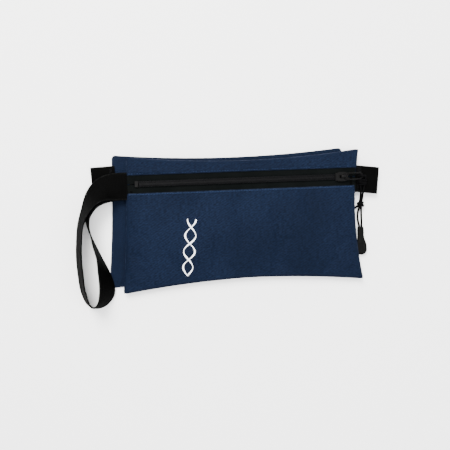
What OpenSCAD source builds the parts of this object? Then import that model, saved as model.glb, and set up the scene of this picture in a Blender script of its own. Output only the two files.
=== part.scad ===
// Zipped cash deposit bag, lying flat on its back with its wrist strap on edge beside it.
// X runs along the zip, Y towards the zip edge, Z up. The origin is the back panel's centre
// on the face that it rests on.

/* [Pouch] */
// Front panel's length along the zip
bag_w = 280; // [230:1:340]
// Front panel's height across the zip
bag_h = 155; // [130:1:190]
// How much shorter the back panel lies than the front, each way
back_short = 5; // [0:0.5:8]
// Coated cloth thickness of the panels
cloth_t = 0.8; // [0.4:0.1:1.2]
// Height of the front panel's underside above the table as the bag lies
front_z = 10.5; // [9.5:0.5:16]
// How far the front panel has slid to the right of the back panel
slide_x = 18; // [10:1:24]
// How far the front panel has slid down from the back panel
slide_y = -4; // [-8:1:0]
// Depth of the gusset's inward fold
fold_d = 16; // [8:1:18]
// Crown of the front panel over what little the bag holds
crown_h = 4; // [0:0.5:8]

/* [Edges] */
// How far the front's top edge is drawn in at its middle
pull_top = 9; // [0:0.5:10]
// How far the front's bottom edge is drawn in at its middle
pull_bottom = 8; // [0:0.5:12]
// How far the front's left edge is drawn in at its middle
pull_left = 1.5; // [0:0.5:8]
// How far the front's right edge is drawn in at its middle
pull_right = 7; // [0:0.5:9]
// How far the left edge leans out at its foot and in at its head
left_lean = 4.5; // [0:0.5:6]
// How far the lower left corner hangs below the square
corner_drop = 4; // [0:0.5:6]
// Width of the binding tape inside the seams
binding_w = 3; // [2:0.5:3]
// Thickness of the binding tape
binding_t = 0.4; // [0.2:0.1:0.4]

/* [Zip] */
// From the front panel's top corners down to the zip's middle
zip_drop = 33; // [31:0.5:36]
// Whole width of the zip tape
tape_w = 30; // [28:1:31]
// Width of the tape that shows between the two panels
tape_show = 21; // [18:0.5:24]
// Thickness of the zip tape
tape_t = 0.5; // [0.3:0.1:0.6]
// Width across the closed coils
coil_w = 6.8; // [6:0.1:7]
// Height of the coils above the tape
coil_h = 2.2; // [1.8:0.1:2.4]
// Spacing of the coil's turns
coil_pitch = 1.25; // [1.25:0.05:2]

/* [Slider] */
// Length of the slider
slider_l = 15; // [12:0.5:16]
// Width of the slider
slider_w = 10.8; // [10.6:0.1:12]
// Thickness of the slider's top plate
slider_t = 1.2; // [0.8:0.1:1.6]
// Length of the bail from its pivot to its outer end
bail_l = 21; // [20:0.5:24]
// Outside width of the bail
bail_w = 8.8; // [8:0.2:10]
// Thickness of the bail
bail_t = 1.4; // [1:0.1:1.6]
// Diameter of the pull cord
cord_d = 2.1; // [1.4:0.1:2.2]

/* [Webbing] */
// Width of the strap and tab webbing
web_w = 32; // [25:1:33]
// Thickness of the webbing
web_t = 1.4; // [1:0.1:1.5]
// Length that each folded tab stands out from its seam
tab_l = 26; // [18:1:30]

/* [Hidden] */

cloth_blue = [0.13, 0.19, 0.31];
web_black = [0.08, 0.08, 0.08];
tape_black = [0.10, 0.10, 0.10];
coil_black = [0.16, 0.16, 0.17];
slider_black = [0.12, 0.12, 0.13];
thread_blue = [0.20, 0.27, 0.40];

edge_steps = 12;        // stretches along each edge of a panel
corner_cut = 0.985;     // share of an edge left before the corner's cut
rail_in = 2;            // seam allowance outside the gusset
binding_in = 4.7;       // outer edge of the binding, from the panel's edge
gap = 0.3;              // room between pieces that move past each other
back_w = bag_w - back_short;
back_h = bag_h - back_short * 0.4;
front_pulls = [pull_left, pull_right, pull_bottom, pull_top];
back_pulls = [2, 2, 5, 7];
fold_z = front_z * 0.42;

zip_y = bag_h / 2 - zip_drop;
show_lo = zip_y - tape_show / 2;
show_hi = zip_y + tape_show / 2;
hinge_y = bag_h / 2 - pull_top - 1.5;       // fold line of the header
tape_z = front_z - tape_t;
coil_z = front_z;
coil_top = coil_z + coil_h;
spine_in = 1.4;         // inner face of a coil's spine, from the zip's middle
mesh_reach = 0.9;       // how far a turn passes the zip's middle
tape_end_y = zip_y - tape_w / 2;            // the binding reaches furthest in at this edge
tape_left = max(left_x(zip_y - tape_w / 2, bag_w, bag_h, pull_left),
                left_x(zip_y + tape_w / 2, bag_w, bag_h, pull_left)) + binding_in + binding_w;
tape_right = side_x(tape_end_y, bag_w, bag_h, pull_right) - binding_in - binding_w;

stop_l = 1.2;
slider_x = tape_right - stop_l - 0.6 - slider_l / 2;
slide_floor_z = tape_z - 1.2;               // underside of the slider's bottom plate
slider_floor_t = 0.7;
slot_lo = tape_z - 0.2;
slot_hi = coil_z + 0.3;
roof_z = coil_top + gap;
slider_top = roof_z + slider_t;
flange_t = 1;
pivot_x = slider_x + 3;
pivot_z = slider_top + 1.15;
crown_wall = 1;
crown_y = 3;
crown_gap = 1.45;       // clear height over the bail's pivot
bail_ring = 1.5;
bail_end_x = pivot_x + bail_l - bail_ring / 2;

tab_t = 2.2;            // two layers pressed at the seam
tab_y = 48;
strap_root_x = left_x(zip_y, bag_w, bag_h, pull_left) - 0.9;
strap_z = front_z - 0.3;
stitch_l = 2.6;
stitch_gap = 5;
stitch_w = 0.5;
stitch_t = 0.3;

// Wrist strap stations in the front panel's frame: x from the root, y, clearance under the lower
// edge as a share of the seam's height, tilt from flat
strap_route = [
    [0, 43, 0.93, 0], [-13.4, 43, 0.82, 8], [-25.6, 40, 0.68, 24], [-37.6, 31, 0.36, 46],
    [-46.6, 16, 0.08, 62], [-52.6, -1, 0, 67], [-54.6, -18, 0, 67], [-55.6, -38, 0, 67],
    [-54.6, -57, 0, 67], [-52.6, -75.3, 0, 68], [-47.6, -89.6, 0, 71], [-39.6, -95.6, 0, 80],
    [-30.6, -91.6, 0.05, 76], [-25.1, -80.1, 0.17, 66], [-25.8, -64.7, 0.19, 72], [-28.6, -52, 0.08, 80],
    [-32.1, -39, 0, 90], [-36.6, -26, 0, 95], [-40.6, -13, 0, 101], [-43.6, -1, 0, 105],
    [-43.6, 12, 0.06, 115], [-38.6, 25, 0.3, 132], [-27.6, 36, 0.4, 155], [-14.6, 42, 0.6, 172],
    [0, 43, 0.72, 180]];
strap_lift = 0.4;       // room for the webbing's thickness under its lower edge

// Puller cord routes in the front panel's frame
tie_route = [[142.7, 15.2, 5.2], [142.9, 19, 7.2], [142.9, 24, 9.8], [143.5, 30, 11.8],
             [144.4, 37, 13], [144.9, 42, 14.6], [144.5, 44.2, 16.6], [143.4, 44.5, 18.2],
             [141.4, 44.5, 18.8], [139.4, 44.5, 18.2], [138.3, 44.3, 16.6], [138, 43.2, 14.6],
             [138.2, 41.6, 13.3], [139, 37.5, 12.5], [140, 30, 11.6], [140.4, 24, 9.6],
             [140.5, 19, 7.2], [140.2, 15.2, 5.2]];
pull_route = [[140.2, 7, 3.6], [138.6, 3.5, 2.7], [138, -1, 2.2], [138, -6, 2.1],
              [138.5, -11, 2.6], [139.1, -15, 3.3], [139.1, -26, 3.5], [137.6, -34, 3.5],
              [136.6, -41, 3.5], [138, -45.5, 3.5], [140.5, -47, 3.5], [143, -45.5, 3.5],
              [144.4, -41, 3.5], [143.4, -34, 3.5], [141.9, -26, 3.5], [141.9, -15, 3.3],
              [142.3, -11, 2.6], [142.5, -6, 2.1], [142.5, -1, 2.2], [142.4, 3.5, 2.8],
              [142.2, 7, 3.7]];
knot_at = [141.4, 11, 4.2];
knot_r = 4.2;
grip_x = 140.5;
grip_top = -16;
grip_l = 34;
grip_w = 13.6;
grip_t = 7;

// Edge curves ---------------------------------------------------------------
function bow(u) = 1 - u * u;
function side_x(y, w, h, pull) = w / 2 - pull * bow(y / (h / 2));
function left_x(y, w, h, pull) = left_lean * y / (h / 2) - side_x(y, w, h, pull);
function low_y(x, w, h, pull) = pull * bow(x / (w / 2)) - h / 2 - corner_drop * max(0, -x / (w / 2));
function lean(p, w, h) = let (left = max(0, -p[0] / (w / 2)), v = p[1] / (h / 2))
    [p[0] + left_lean * left * v, p[1] - corner_drop * left * max(0, -v)];
function edge_u(i) = corner_cut * (2 * i / edge_steps - 1);

// Outline of a panel drawn in at each edge, counter-clockwise from its lower left corner
function outline(w, h, pulls, inset) = let (a = w / 2 - inset, b = h / 2 - inset) [for (p = concat(
    [for (i = [0:edge_steps]) let (u = edge_u(i)) [a * u, pulls[2] * bow(u) - b]],
    [for (i = [0:edge_steps]) let (u = edge_u(i)) [a - pulls[1] * bow(u), b * u]],
    [for (i = [0:edge_steps]) let (u = edge_u(i)) [-a * u, b - pulls[3] * bow(u)]],
    [for (i = [0:edge_steps]) let (u = edge_u(i)) [pulls[0] * bow(u) - a, -b * u]])) lean(p, w, h)];

function front_line(inset) = outline(bag_w, bag_h, front_pulls, inset);
function back_line(inset) = outline(back_w, back_h, back_pulls, inset);

// Triangles of a closed tube of rings, n points each
function tube_sides(rings, n) = [for (i = [0:rings - 2], j = [0:n - 1])
    let (a = i * n + j, b = i * n + (j + 1) % n) each [[a, a + n, b], [b, a + n, b + n]]];
function cap(n, at, turn) = [for (j = [1:n - 2])
    turn ? [at, at + j + 1, at + j] : [at, at + j, at + j + 1]];

// Smooth curve through stations, part t of the way from station i to the next
function smooth(p, i, t) = let (n = len(p) - 1,
    a = p[max(i - 1, 0)], b = p[i], c = p[min(i + 1, n)], d = p[min(i + 2, n)])
    0.5 * (2 * b + t * (c - a) + t * t * (2 * a - 5 * b + 4 * c - d)
           + t * t * t * (3 * b - a - 3 * c + d));
function smooth_line(p, steps) = concat(
    [for (i = [0:len(p) - 2], k = [0:steps - 1]) smooth(p, i, k / steps)], [p[len(p) - 1]]);
function unit(v) = v / norm(v);

module on_front() translate([slide_x, slide_y, 0]) children();

module ring(line_out, line_in, z, t) {
    translate([0, 0, z]) linear_extrude(t) difference() {
        polygon(line_out);
        polygon(line_in);
    }
}

// Round cord through a route of points
module cord(route, d) {
    sides = 8;
    n = len(route);
    pts = [for (i = [0:n - 1])
        let (t = unit(route[min(i + 1, n - 1)] - route[max(i - 1, 0)]),
             s = unit(cross(t, abs(t[2]) < 0.9 ? [0, 0, 1] : [0, 1, 0])), v = cross(s, t))
        for (j = [0:sides - 1]) let (a = 360 * j / sides)
            route[i] + d / 2 * (cos(a) * s + sin(a) * v)];
    polyhedron(pts, concat(tube_sides(n, sides), cap(sides, 0, false),
                           cap(sides, (n - 1) * sides, true)));
}

// Panels --------------------------------------------------------------------
module back_panel() {
    color(cloth_blue) linear_extrude(cloth_t) polygon(back_line(0));
}

module back_binding() {
    color(web_black) ring(back_line(binding_in), back_line(binding_in + binding_w), cloth_t, binding_t);
}

module front_binding() {
    color(web_black) on_front()
        ring(front_line(binding_in), front_line(binding_in + binding_w), front_z - binding_t, binding_t);
}

// One side of the bellows gusset, folded inward between the two seams
module gusset(side) {
    first = side * (edge_steps + 1);
    total = 4 * (edge_steps + 1);
    front_rail = front_line(rail_in);
    back_rail = back_line(rail_in);
    front_fold = front_line(rail_in + fold_d);
    back_fold = back_line(rail_in + fold_d);
    front_root = front_line(rail_in + fold_d - 2);
    back_root = back_line(rail_in + fold_d - 2);
    at = [slide_x, slide_y];
    pts = [for (k = [0:edge_steps + 1]) let (i = (first + k) % total,
            f = front_rail[i] + at, b = back_rail[i],
            inner = (front_fold[i] + at + back_fold[i]) / 2,
            outer = (front_root[i] + at + back_root[i]) / 2)
        each [[f[0], f[1], front_z], [f[0], f[1], front_z - cloth_t], [outer[0], outer[1], fold_z],
              [b[0], b[1], 2 * cloth_t], [b[0], b[1], cloth_t], [inner[0], inner[1], fold_z]]];
    last = (edge_steps + 1) * 6;
    faces = [[0, 1, 2], [0, 2, 5], [2, 3, 5], [3, 4, 5]];
    color(cloth_blue) polyhedron(pts, concat(tube_sides(edge_steps + 2, 6),
        faces, [for (f = faces) [last + f[0], last + f[2], last + f[1]]]));
}

module gusset_bottom() gusset(0);
module gusset_right() gusset(1);
module gusset_top() gusset(2);
module gusset_left() gusset(3);

// Front panel below the zip: flat round its rim, crowned in the middle
module front_lower_panel() {
    nx = 28;
    ny = 12;
    hem = 0.83;         // beyond this share of the height the cloth lies flat
    lift = function (u, v) crown_h * pow(bow(u), 2) * pow(max(0, bow(v / hem)), 2);
    low = function (x) low_y(x, bag_w, bag_h, pull_bottom);
    at = function (u, v, z) let (v01 = (v + 1) / 2,
        y_flat = -bag_h / 2 + (show_lo + bag_h / 2) * v01,
        left = left_x(y_flat, bag_w, bag_h, pull_left),
        right = side_x(y_flat, bag_w, bag_h, pull_right),
        x = (left + right) / 2 + (right - left) / 2 * u)
        [x, low(x) + (show_lo - low(x)) * v01, z + lift(u, v)];
    level = function (z) [for (j = [0:ny], i = [0:nx]) at(2 * i / nx - 1, 2 * j / ny - 1, z)];
    row = nx + 1;
    total = row * (ny + 1);
    quads = [for (j = [0:ny - 1], i = [0:nx - 1]) let (a = j * row + i)
        each [[a, a + 1, a + row], [a + 1, a + row + 1, a + row]]];
    rim = concat([for (i = [0:nx]) i], [for (j = [1:ny]) j * row + nx],
        [for (i = [nx - 1:-1:0]) ny * row + i], [for (j = [ny - 1:-1:1]) j * row]);
    walls = [for (k = [0:len(rim) - 1]) let (a = rim[k], b = rim[(k + 1) % len(rim)])
        each [[a, a + total, b], [b, a + total, b + total]]];
    color(cloth_blue) on_front() polyhedron(concat(level(front_z), level(front_z + cloth_t)),
        concat(quads, [for (q = quads) [q[0] + total, q[2] + total, q[1] + total]], walls));
}

module header(lo, hi) {
    color(cloth_blue) on_front() translate([0, 0, front_z]) linear_extrude(cloth_t) intersection() {
        polygon(front_line(0));
        translate([-bag_w, lo]) square([2 * bag_w, hi - lo]);
    }
}
module header_band() header(hinge_y, bag_h);
module header_lip() header(show_hi, hinge_y);

// Zip -----------------------------------------------------------------------
module zip_tape(side) {
    color(tape_black) on_front() translate([tape_left, zip_y + (side > 0 ? spine_in : -tape_w / 2), tape_z])
        cube([tape_right - tape_left, tape_w / 2 - spine_in, tape_t]);
}
module zip_tape_lower() zip_tape(-1);
module zip_tape_upper() zip_tape(1);

// Coil seen from above as a comb: a spine with a turn every pitch that passes the middle
module zip_coil(side) {
    x0 = tape_left + 8;
    x1 = tape_right - stop_l - 1;
    turns = floor((slider_x - x0) / coil_pitch) - 1;
    turn_w = coil_pitch * 0.4;
    start = side > 0 ? 0 : coil_pitch / 2;
    teeth = [for (k = [0:turns - 1]) let (x = x0 + start + k * coil_pitch)
        each [[x, spine_in], [x, -mesh_reach], [x + turn_w, -mesh_reach], [x + turn_w, spine_in]]];
    color(coil_black) on_front() translate([0, zip_y, coil_z]) linear_extrude(coil_h)
        scale([1, side]) polygon(concat([[x0 - 1, coil_w / 2], [x0 - 1, spine_in]], teeth,
                                        [[x1, spine_in], [x1, coil_w / 2]]));
}
module zip_coil_lower() zip_coil(-1);
module zip_coil_upper() zip_coil(1);

module zip_top_stops() {
    color(slider_black) on_front() for (side = [-1, 1])
        translate([tape_right - stop_l, zip_y + side * (spine_in + 1) - 1, coil_z])
            cube([stop_l, 2, coil_h]);
}

module zip_bottom_stop() {
    color(slider_black) on_front() translate([tape_left + 2, zip_y - coil_w / 2, coil_z])
        cube([4, coil_w, coil_h]);
}

// Lock stitches in a row along the panel's folded edge beside the zip
module stitch_row(y) {
    rows = floor((tape_right - tape_left - 2) / stitch_gap);
    color(thread_blue) on_front() for (k = [0:rows - 1])
        translate([tape_left + 2 + k * stitch_gap, y - stitch_w / 2, front_z + cloth_t])
            cube([stitch_l, stitch_w, stitch_t]);
}
module zip_stitching_lower() stitch_row(show_lo - 1.2);
module zip_stitching_upper() stitch_row(show_hi + 1.6);

// Slider --------------------------------------------------------------------
module slider_plan(w) {
    nose = w * 0.36;
    union() {
        translate([-slider_l / 2, -w * 0.42]) square([slider_l - nose, w * 0.84]);
        translate([-slider_l / 2 + 3, -w / 2]) square([slider_l - nose - 3, w]);
        translate([slider_l / 2 - nose, 0]) intersection() {
            circle(r = w / 2, $fn = 48);
            translate([0, -w / 2]) square([nose, w]);
        }
    }
}

module slider_body() {
    color(slider_black) on_front() translate([slider_x, zip_y, 0]) {
        translate([0, 0, slide_floor_z]) linear_extrude(slider_floor_t) slider_plan(slider_w);
        translate([0, 0, roof_z]) linear_extrude(slider_t) slider_plan(slider_w);
        for (side = [-1, 1]) {
            translate([-slider_l / 2 + 3.5, side * (slider_w / 2 - flange_t / 2) - flange_t / 2, 0]) {
                translate([0, 0, slide_floor_z]) cube([slider_l / 2, flange_t, slot_lo - slide_floor_z]);
                translate([0, 0, slot_hi]) cube([slider_l / 2, flange_t, roof_z - slot_hi + slider_t]);
            }
        }
        translate([slider_l / 2 - 4.5, 0, slide_floor_z])
            cylinder(r = 0.9, h = slider_top - slide_floor_z, $fn = 24);
    }
}

// Crown that holds the bail's inner bar, open from side to side
module slider_crown() {
    foot = 1.2;
    x0 = pivot_x - 5.5;
    x1 = pivot_x + 2 + foot;
    color(slider_black) on_front() translate([0, zip_y + crown_y / 2, 0]) rotate([90, 0, 0])
        linear_extrude(crown_y) polygon([[x0, slider_top], [x0, pivot_z + 0.4],
            [x0 + 1.2, pivot_z + crown_gap + crown_wall], [x1 - 1, pivot_z + crown_gap + crown_wall],
            [x1, pivot_z + 0.4], [x1, slider_top], [x1 - foot, slider_top],
            [x1 - foot, pivot_z + crown_gap], [x0 + foot, pivot_z + crown_gap], [x0 + foot, slider_top]]);
}

// Leaf spring of the slider's lock, lying inside the crown behind the bail
module slider_lock_spring() {
    color([0.55, 0.55, 0.57]) on_front()
        translate([pivot_x - 4.1, zip_y - 0.9, slider_top]) cube([1.8, 1.8, 0.3]);
}

module slot_plan(l, w) {
    r = w / 2;
    translate([r, 0]) circle(r = r, $fn = 48);
    translate([r, -r]) square([l - w, w]);
    translate([l - r, 0]) circle(r = r, $fn = 48);
}

module slider_bail() {
    inner = bail_w - 2 * bail_ring;
    l = bail_l + bail_ring;
    color(slider_black) on_front() translate([pivot_x - bail_ring / 2, zip_y, pivot_z - bail_t / 2])
        linear_extrude(bail_t) difference() {
            slot_plan(l, bail_w);
            translate([bail_ring, 0]) slot_plan(l - 2 * bail_ring, inner);
        }
}

// Puller --------------------------------------------------------------------
module tie_cord() {
    color(web_black) on_front() cord(tie_route, cord_d);
}

module tie_knot() {
    color(web_black) on_front() translate(knot_at) sphere(r = knot_r, $fn = 32);
}

module pull_cord() {
    color(web_black) on_front() cord(pull_route, cord_d);
}

// Moulded grip: a slim collar that swells to a rounded paddle
module grip_plan() {
    hull() {
        translate([grip_x, grip_top - grip_l + grip_w / 2]) circle(r = grip_w / 2, $fn = 32);
        translate([grip_x - 3.4, grip_top - 13]) square([6.8, 1]);
    }
    translate([grip_x - 3.6, grip_top - 13]) square([7.2, 13]);
}

module pull_grip() {
    color(slider_black) on_front() translate([0, 0, gap / 2]) linear_extrude(grip_t - gap) grip_plan();
}

// Webbing -------------------------------------------------------------------
module folded_tab() {
    leaf = (tab_t - 0.2) / 2;
    translate([0, -web_w / 2, 0]) cube([tab_l - 1, web_w, leaf]);
    translate([0, -web_w / 2, tab_t - leaf]) cube([tab_l - 1, web_w, leaf]);
    translate([tab_l - 1, -web_w / 2, 0]) cube([1, web_w, tab_t]);
}

left_seam_x = left_lean * tab_y / (back_h / 2) - back_w / 2 + rail_in - 0.2;
right_seam_x = side_x(zip_y, bag_w, bag_h, pull_right) + 0.7;
right_tab_z = front_z - gap - 0.8 - tab_t;

module left_tab() {
    color(web_black) translate([left_seam_x, tab_y, cloth_t]) mirror([1, 0, 0]) folded_tab();
}

module right_tab() {
    color(web_black) on_front() translate([right_seam_x, zip_y - 1, right_tab_z])
        rotate([0, 0, -6]) folded_tab();
}

// Close zigzag of thread across a tab, just outside its seam
module bartack(z) {
    for (k = [-6:6]) translate([2.2, k * 2 - 0.3, z]) cube([3, 0.6, 0.3]);
}

module left_tab_bartack() {
    color(web_black) translate([left_seam_x, tab_y, 0]) mirror([1, 0, 0]) bartack(cloth_t + tab_t);
}

module right_tab_bartack() {
    color(web_black) on_front() translate([right_seam_x, zip_y - 1, 0]) rotate([0, 0, -6])
        bartack(right_tab_z + tab_t);
}

// Wrist strap: one webbing ribbon, both ends in the left seam, turned on edge round its loop
module wrist_strap() {
    route = smooth_line(strap_route, 3);
    n = len(route);
    pts = [for (i = [0:n - 1])
        let (p = route[i], ahead = route[min(i + 1, n - 1)] - route[max(i - 1, 0)],
             h = unit([ahead[0], ahead[1], 0]), across = [-h[1], h[0], 0],
             w = cos(p[3]) * across + [0, 0, sin(p[3])], t = cross(h, w),
             c = [strap_root_x + p[0], p[1],
                  strap_lift + p[2] * strap_z + sin(p[3]) * web_w / 2])
        each [c + w * web_w / 2 + t * web_t / 2, c - w * web_w / 2 + t * web_t / 2,
              c - w * web_w / 2 - t * web_t / 2, c + w * web_w / 2 - t * web_t / 2]];
    color(web_black) on_front() polyhedron(pts, concat(tube_sides(n, 4), cap(4, 0, false),
                                                       cap(4, (n - 1) * 4, true)));
}

back_panel();
back_binding();
gusset_top();
gusset_bottom();
gusset_left();
gusset_right();
left_tab();
left_tab_bartack();
front_binding();
front_lower_panel();
header_band();
header_lip();
zip_tape_lower();
zip_tape_upper();
zip_coil_lower();
zip_coil_upper();
zip_top_stops();
zip_bottom_stop();
zip_stitching_lower();
zip_stitching_upper();
slider_body();
slider_crown();
slider_lock_spring();
slider_bail();
tie_cord();
tie_knot();
pull_cord();
pull_grip();
right_tab();
right_tab_bartack();
wrist_strap();
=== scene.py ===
import bpy
import math
import numpy as np
from mathutils import Euler, Matrix, Vector, noise


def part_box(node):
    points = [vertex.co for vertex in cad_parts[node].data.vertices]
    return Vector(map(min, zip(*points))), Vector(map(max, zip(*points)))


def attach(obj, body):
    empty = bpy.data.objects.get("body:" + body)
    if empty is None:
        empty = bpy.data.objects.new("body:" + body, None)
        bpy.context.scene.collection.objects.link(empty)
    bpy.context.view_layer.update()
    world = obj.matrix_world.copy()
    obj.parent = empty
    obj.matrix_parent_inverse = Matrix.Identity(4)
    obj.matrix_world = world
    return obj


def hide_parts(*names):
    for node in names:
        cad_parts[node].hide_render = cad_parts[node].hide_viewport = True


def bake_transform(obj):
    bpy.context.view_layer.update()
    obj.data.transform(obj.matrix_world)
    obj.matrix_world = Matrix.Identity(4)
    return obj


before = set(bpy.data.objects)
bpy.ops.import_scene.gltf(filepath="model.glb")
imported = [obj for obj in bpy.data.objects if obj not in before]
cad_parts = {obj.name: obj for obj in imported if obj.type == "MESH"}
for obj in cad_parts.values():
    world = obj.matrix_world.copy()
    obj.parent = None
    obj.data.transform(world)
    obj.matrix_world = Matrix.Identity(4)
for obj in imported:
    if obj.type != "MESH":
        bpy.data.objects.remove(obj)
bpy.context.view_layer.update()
print("frame loaded")

mm = 0.001

# Where things are, read from the frame
lowerLow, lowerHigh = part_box("front_lower_panel")
lipLow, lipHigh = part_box("header_lip")
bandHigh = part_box("header_band")[1]
backLow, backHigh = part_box("back_panel")
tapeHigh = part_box("zip_tape_lower")[1]
coilLow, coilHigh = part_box("zip_coil_lower")
gripLow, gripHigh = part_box("pull_grip")
knotLow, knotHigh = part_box("tie_knot")

pouch = {"pullTop": 9 * mm, "pullBottom": 8 * mm, "pullLeft": 1.5 * mm, "pullRight": 7 * mm,
         "backTop": 7 * mm, "backBottom": 5 * mm, "backSide": 2 * mm, "cloth": 0.8 * mm,
         "foldDepth": 16 * mm, "seamRoll": 2.6 * mm, "cornerCut": 0.985,
         "leftLean": 4.5 * mm, "cornerDrop": 4 * mm, "cornerRound": 5 * mm}

frontMid = (lowerLow.x + lowerHigh.x + pouch["leftLean"]) / 2
halfWidth = (lowerHigh.x - lowerLow.x - pouch["leftLean"]) / 2
frontBottom = lowerLow.y + pouch["cornerDrop"]
frontTop = bandHigh.y + 0.27 * mm                # the corners, just past the band's cut ends
frontMidY = (frontBottom + frontTop) / 2
halfHeight = (frontTop - frontBottom) / 2
frontUnder = lipLow.z                            # underside of the front panel
frontFace = lipHigh.z
showLow = lowerHigh.y                            # the two edges that the tape shows between
showHigh = lipLow.y
zipY = (showLow + showHigh) / 2
backHalfWidth = backHigh.x / pouch["cornerCut"]
backHalfHeight = (backHigh.y - backLow.y - pouch["cornerDrop"]) / 2


def bow(u):
    return 1 - u * u


def leaning(x, y, width, height):                # the left edge leans, and its lower corner hangs
    left, v = max(0.0, -x / width), y / height
    return x + pouch["leftLean"] * left * v, y - pouch["cornerDrop"] * left * max(0.0, -v)


def leftEdge(y):
    v = (y - frontMidY) / halfHeight
    return frontMid - halfWidth + pouch["pullLeft"] * bow(v) + pouch["leftLean"] * v


def rightEdge(y):
    return frontMid + halfWidth - pouch["pullRight"] * bow((y - frontMidY) / halfHeight)


def topEdge(x):
    return frontTop - pouch["pullTop"] * bow((x - frontMid) / halfWidth)


def bottomEdge(x):
    u = (x - frontMid) / halfWidth
    return frontBottom + pouch["pullBottom"] * bow(u) - pouch["cornerDrop"] * max(0.0, -u)


def smoothStep(low, high, x):
    t = min(1.0, max(0.0, (x - low) / (high - low)))
    return t * t * (3 - 2 * t)


# Shader maths
class Socket:
    def __init__(self, finish, socket):
        self.finish = finish
        self.socket = socket

    def maths(self, operation, first, second=None):
        values = {0: first} if second is None else {0: first, 1: second}
        return self.finish.get("ShaderNodeMath", {"operation": operation}, values)

    def __add__(self, other):
        return self.maths("ADD", self, other)

    def __radd__(self, other):
        return self.maths("ADD", other, self)

    def __sub__(self, other):
        return self.maths("SUBTRACT", self, other)

    def __rsub__(self, other):
        return self.maths("SUBTRACT", other, self)

    def __mul__(self, other):
        return self.maths("MULTIPLY", self, other)

    def __rmul__(self, other):
        return self.maths("MULTIPLY", other, self)


class Finish:
    def __init__(self, name):
        self.material = bpy.data.materials.new(name)
        self.material.use_nodes = True
        self.nodes = self.material.node_tree.nodes
        self.links = self.material.node_tree.links
        self.nodes.clear()
        self.out = self.nodes.new("ShaderNodeOutputMaterial")
        self.shader = self.nodes.new("ShaderNodeBsdfPrincipled")
        self.links.new(self.shader.outputs[0], self.out.inputs[0])

    def node(self, kind, settings=None, values=None):
        made = self.nodes.new(kind)
        for key, value in (settings or {}).items():
            setattr(made, key, value)
        for key, value in (values or {}).items():
            if isinstance(value, Socket):
                self.links.new(value.socket, made.inputs[key])
            else:
                made.inputs[key].default_value = value
        return made

    def get(self, kind, settings=None, values=None, output=0):
        return Socket(self, self.node(kind, settings, values).outputs[output])

    def cut(self):                               # the cloth's own flat coordinates, in metres
        return self.get("ShaderNodeAttribute", {"attribute_name": "cut"}, None, "Vector")

    def place(self):
        return self.get("ShaderNodeTexCoord", None, None, "Object")

    def parts(self, vector):
        made = self.node("ShaderNodeSeparateXYZ", None, {0: vector})
        return [Socket(self, made.outputs[i]) for i in range(3)]

    def stretch(self, vector, by):
        return self.get("ShaderNodeVectorMath", {"operation": "MULTIPLY"}, {0: vector, 1: by})

    def wave(self, x):
        return self.get("ShaderNodeMath", {"operation": "SINE"}, {0: x})

    def size(self, x):
        return self.get("ShaderNodeMath", {"operation": "ABSOLUTE"}, {0: x})

    def ease(self, x, low, high):
        return self.get("ShaderNodeMapRange", {"interpolation_type": "SMOOTHSTEP"},
                        {"Value": x, "From Min": low, "From Max": high})

    def grain(self, vector, scale, detail=3.0):
        return self.get("ShaderNodeTexNoise", None,
                        {"Vector": vector, "Scale": scale, "Detail": detail}, "Fac")

    def mix(self, share, first, second):
        return self.get("ShaderNodeMix", {"data_type": "RGBA"}, {0: share, 6: first, 7: second}, 2)

    def relief(self, height, strength, distance, under=None):
        values = {"Height": height, "Strength": strength, "Distance": distance}
        if under is not None:
            values["Normal"] = under
        return self.get("ShaderNodeBump", None, values, "Normal")

    def set(self, **values):
        names = {"colour": "Base Color", "roughness": "Roughness", "normal": "Normal",
                 "metallic": "Metallic", "specular": "Specular IOR Level", "ior": "IOR"}
        for key, value in values.items():
            socket = self.shader.inputs[names[key]]
            if isinstance(value, Socket):
                self.links.new(value.socket, socket)
            else:
                socket.default_value = value
        return self.material


def linear(red, green, blue):                    # a screen colour, 0 to 255, as a shader's
    def one(c):
        c = c / 255
        return c / 12.92 if c < 0.04045 else ((c + 0.055) / 1.055) ** 2.4
    return (one(red), one(green), one(blue), 1)


# Plain weave of coated nylon: one thread over, one under, with slubs and worn edges
def clothFinish(name, face, thread, pitch):
    f = Finish(name)
    cut = f.cut()
    x, y, edge = f.parts(cut)
    turns = 2 * math.pi / pitch
    warp = f.wave(x * turns)
    weft = f.wave(y * turns)
    weave = warp * weft * 0.5 + 0.5
    slubLean = f.grain(cut, 45, 2)
    twill = f.wave((x * 0.8 - y * 1.25) * (2 * math.pi / (pitch * 4.5)) + slubLean * 6) * 0.5 + 0.5
    blotch = f.grain(f.stretch(cut, (1, 1.9, 1)), 330, 3)
    slub = f.grain(f.stretch(cut, (1, 14, 1)), 210, 2)
    slubAcross = f.grain(f.stretch(cut, (14, 1, 1)), 190, 2)
    fade = f.grain(f.place(), 16, 4)
    worn = f.ease(edge, 0.35, 1.0) * f.ease(f.grain(f.place(), 260, 2), 0.35, 0.75)
    threads = f.ease(slub * 0.5 + slubAcross * 0.5, 0.36, 0.66)
    patch = f.ease(blotch, 0.34, 0.66)
    light = f.mix(threads * 0.4 + weave * 0.15 + patch * 0.45 + twill * 0.25, face, thread)
    shade = f.mix(f.ease(fade, 0.3, 0.75) * 0.35, light, tuple(c * 0.72 for c in face[:3]) + (1,))
    scuffed = tuple(min(1, c * 1.9 + 0.01) for c in thread[:3]) + (1,)
    colour = f.mix(worn * 0.5, shade, scuffed)
    fine = f.relief(weave, 0.32, 0.12 * mm)
    broad = f.relief(slub + slubAcross, 0.22, 0.25 * mm, fine)
    return f.set(colour=colour, roughness=0.66 + threads * 0.16 - worn * 0.06, normal=broad,
                 specular=0.1, ior=1.2)


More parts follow.
